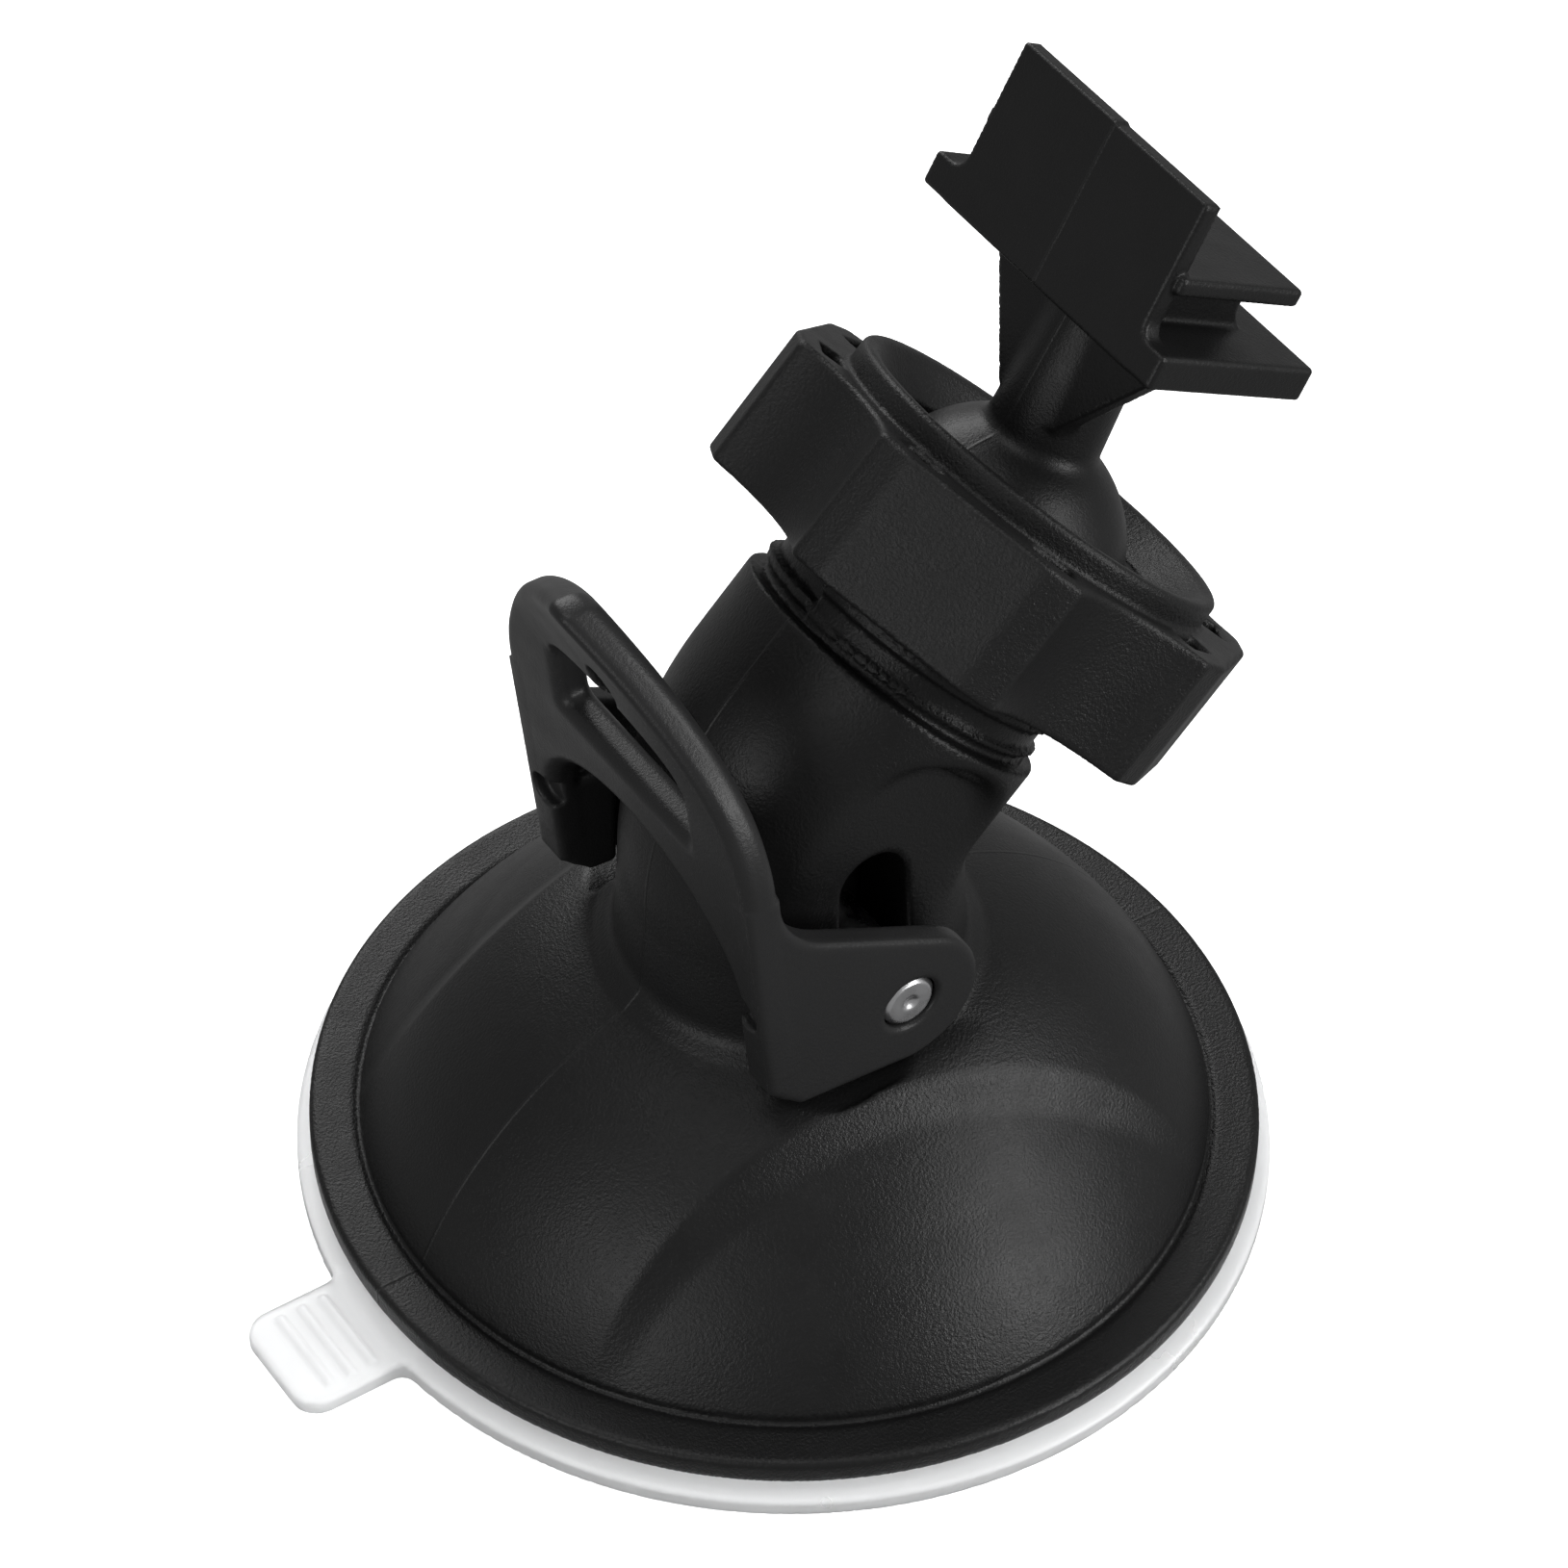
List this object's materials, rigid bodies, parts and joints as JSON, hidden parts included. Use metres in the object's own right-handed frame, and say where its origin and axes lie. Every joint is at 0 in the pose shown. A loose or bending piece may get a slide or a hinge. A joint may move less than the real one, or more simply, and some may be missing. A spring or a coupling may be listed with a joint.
{
  "type": "suction cup windscreen mount",
  "caption": "Black plastic suction-cup windscreen mount with cam lever, tilted neck, ball clamp with lobed lock nut and a T-rail head for a dash camera",
  "frame": {"origin": "centre of the flat suction face under the membrane", "axes": "+Z away from the windscreen and up in the stored pose, -X towards the pull tab and the lever, +X the way the tilted neck leans, Y along the pivot pin"},
  "size_m": [0.0753, 0.068, 0.0797],
  "materials": {
    "clear_membrane": "soft clear flexible membrane, glossy and slightly cloudy",
    "stud_plastic": "black moulded nylon",
    "spring_steel": "drawn spring wire",
    "housing_plastic": "black plastic with a fine spark-eroded grain",
    "lever_plastic": "black plastic, smooth satin",
    "pin_steel": "bright steel with a turned end",
    "nut_plastic": "black plastic, coarse grain on the grip lobes",
    "pad_rubber": "dark friction rubber",
    "head_plastic": "black plastic, fine satin grain"
  },
  "bodies": {
    "base": {"base_housing": "housing_plastic", "suction_membrane": "clear_membrane", "return_spring": "spring_steel"},
    "stud": {"pull_stud": "stud_plastic", "pivot_pin": "pin_steel"},
    "lever": {"cam_lever": "lever_plastic"},
    "nut": {"lock_nut": "nut_plastic"},
    "seat": {"ball_seat_pad": "pad_rubber"},
    "head": {"rail_head": "head_plastic"}
  },
  "joints": [
    {"name": "stud_lift", "type": "slide", "parent": "base", "child": "stud", "axis": [0, 0, 1], "range_m": [0, 0.0056], "deforming": ["return_spring"]},
    {"name": "lever_swing", "type": "hinge", "parent": "stud", "child": "lever", "pos_m": [0, 0, 0.0258], "axis": [0, -1, 0], "range_deg": [0, 83]},
    {"name": "nut_turn", "type": "hinge", "parent": "base", "child": "nut", "pos_m": [0.01427, 0, 0.04797], "axis": [0.7071, 0, 0.7071], "range_deg": [-360, 0]},
    {"name": "ball_swivel", "type": "hinge", "parent": "base", "child": "seat", "pos_m": [0.01488, 0, 0.04858], "axis": [0.7071, 0, 0.7071], "continuous": true},
    {"name": "ball_tilt", "type": "hinge", "parent": "seat", "child": "head", "pos_m": [0.01488, 0, 0.04858], "axis": [0, 1, 0], "range_deg": [-24, 56]}
  ],
  "couplings": [
    {"joint": "stud_lift", "follows": "lever_swing", "m_per_rad": 0.0038657}
  ]
}
